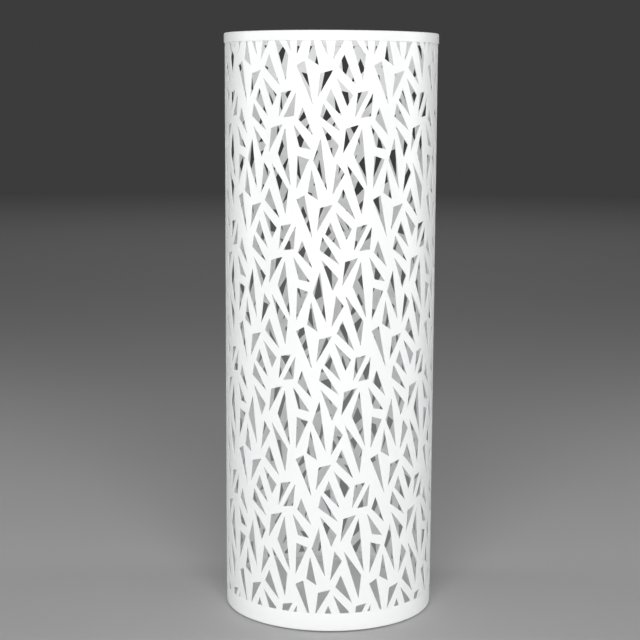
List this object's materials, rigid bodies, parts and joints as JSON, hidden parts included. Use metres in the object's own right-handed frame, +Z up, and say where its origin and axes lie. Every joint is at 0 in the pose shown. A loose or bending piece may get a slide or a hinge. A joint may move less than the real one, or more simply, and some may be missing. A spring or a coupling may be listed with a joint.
{
  "type": "umbrella stand",
  "caption": "Tall round umbrella stand: a white powder-coated steel tube punched all over with slanting triangles, a plain rim and base band, and a lift-out drip tray on rubber feet.",
  "frame": {"origin": "centre of the base on the floor plane, under the four rubber feet", "axes": "+Z up along the tube's axis, towards its open mouth; -Y faces the viewer"},
  "size_m": [0.2016, 0.2016, 0.55],
  "materials": {
    "white_powder_coat": "fine satin white powder coat on steel sheet, slightly softened at the cut edges",
    "tray_powder_coat": "satin white powder coat on pressed steel",
    "foot_rubber": "matte moulded rubber",
    "zinc_plated_steel": "bright zinc plate"
  },
  "bodies": {
    "stand": {"perforated_body": "white_powder_coat", "top_rim": "white_powder_coat", "base_ring": "white_powder_coat", "base_plate": "white_powder_coat", "rubber_feet": "foot_rubber", "foot_washers": "zinc_plated_steel", "foot_screws": "zinc_plated_steel", "foot_nuts": "zinc_plated_steel"},
    "tray": {"drip_tray": "tray_powder_coat"}
  },
  "joints": [
    {"name": "tray_lift", "type": "slide", "parent": "stand", "child": "tray", "axis": [0, 0, 1], "range_m": [0, 0.56]}
  ]
}
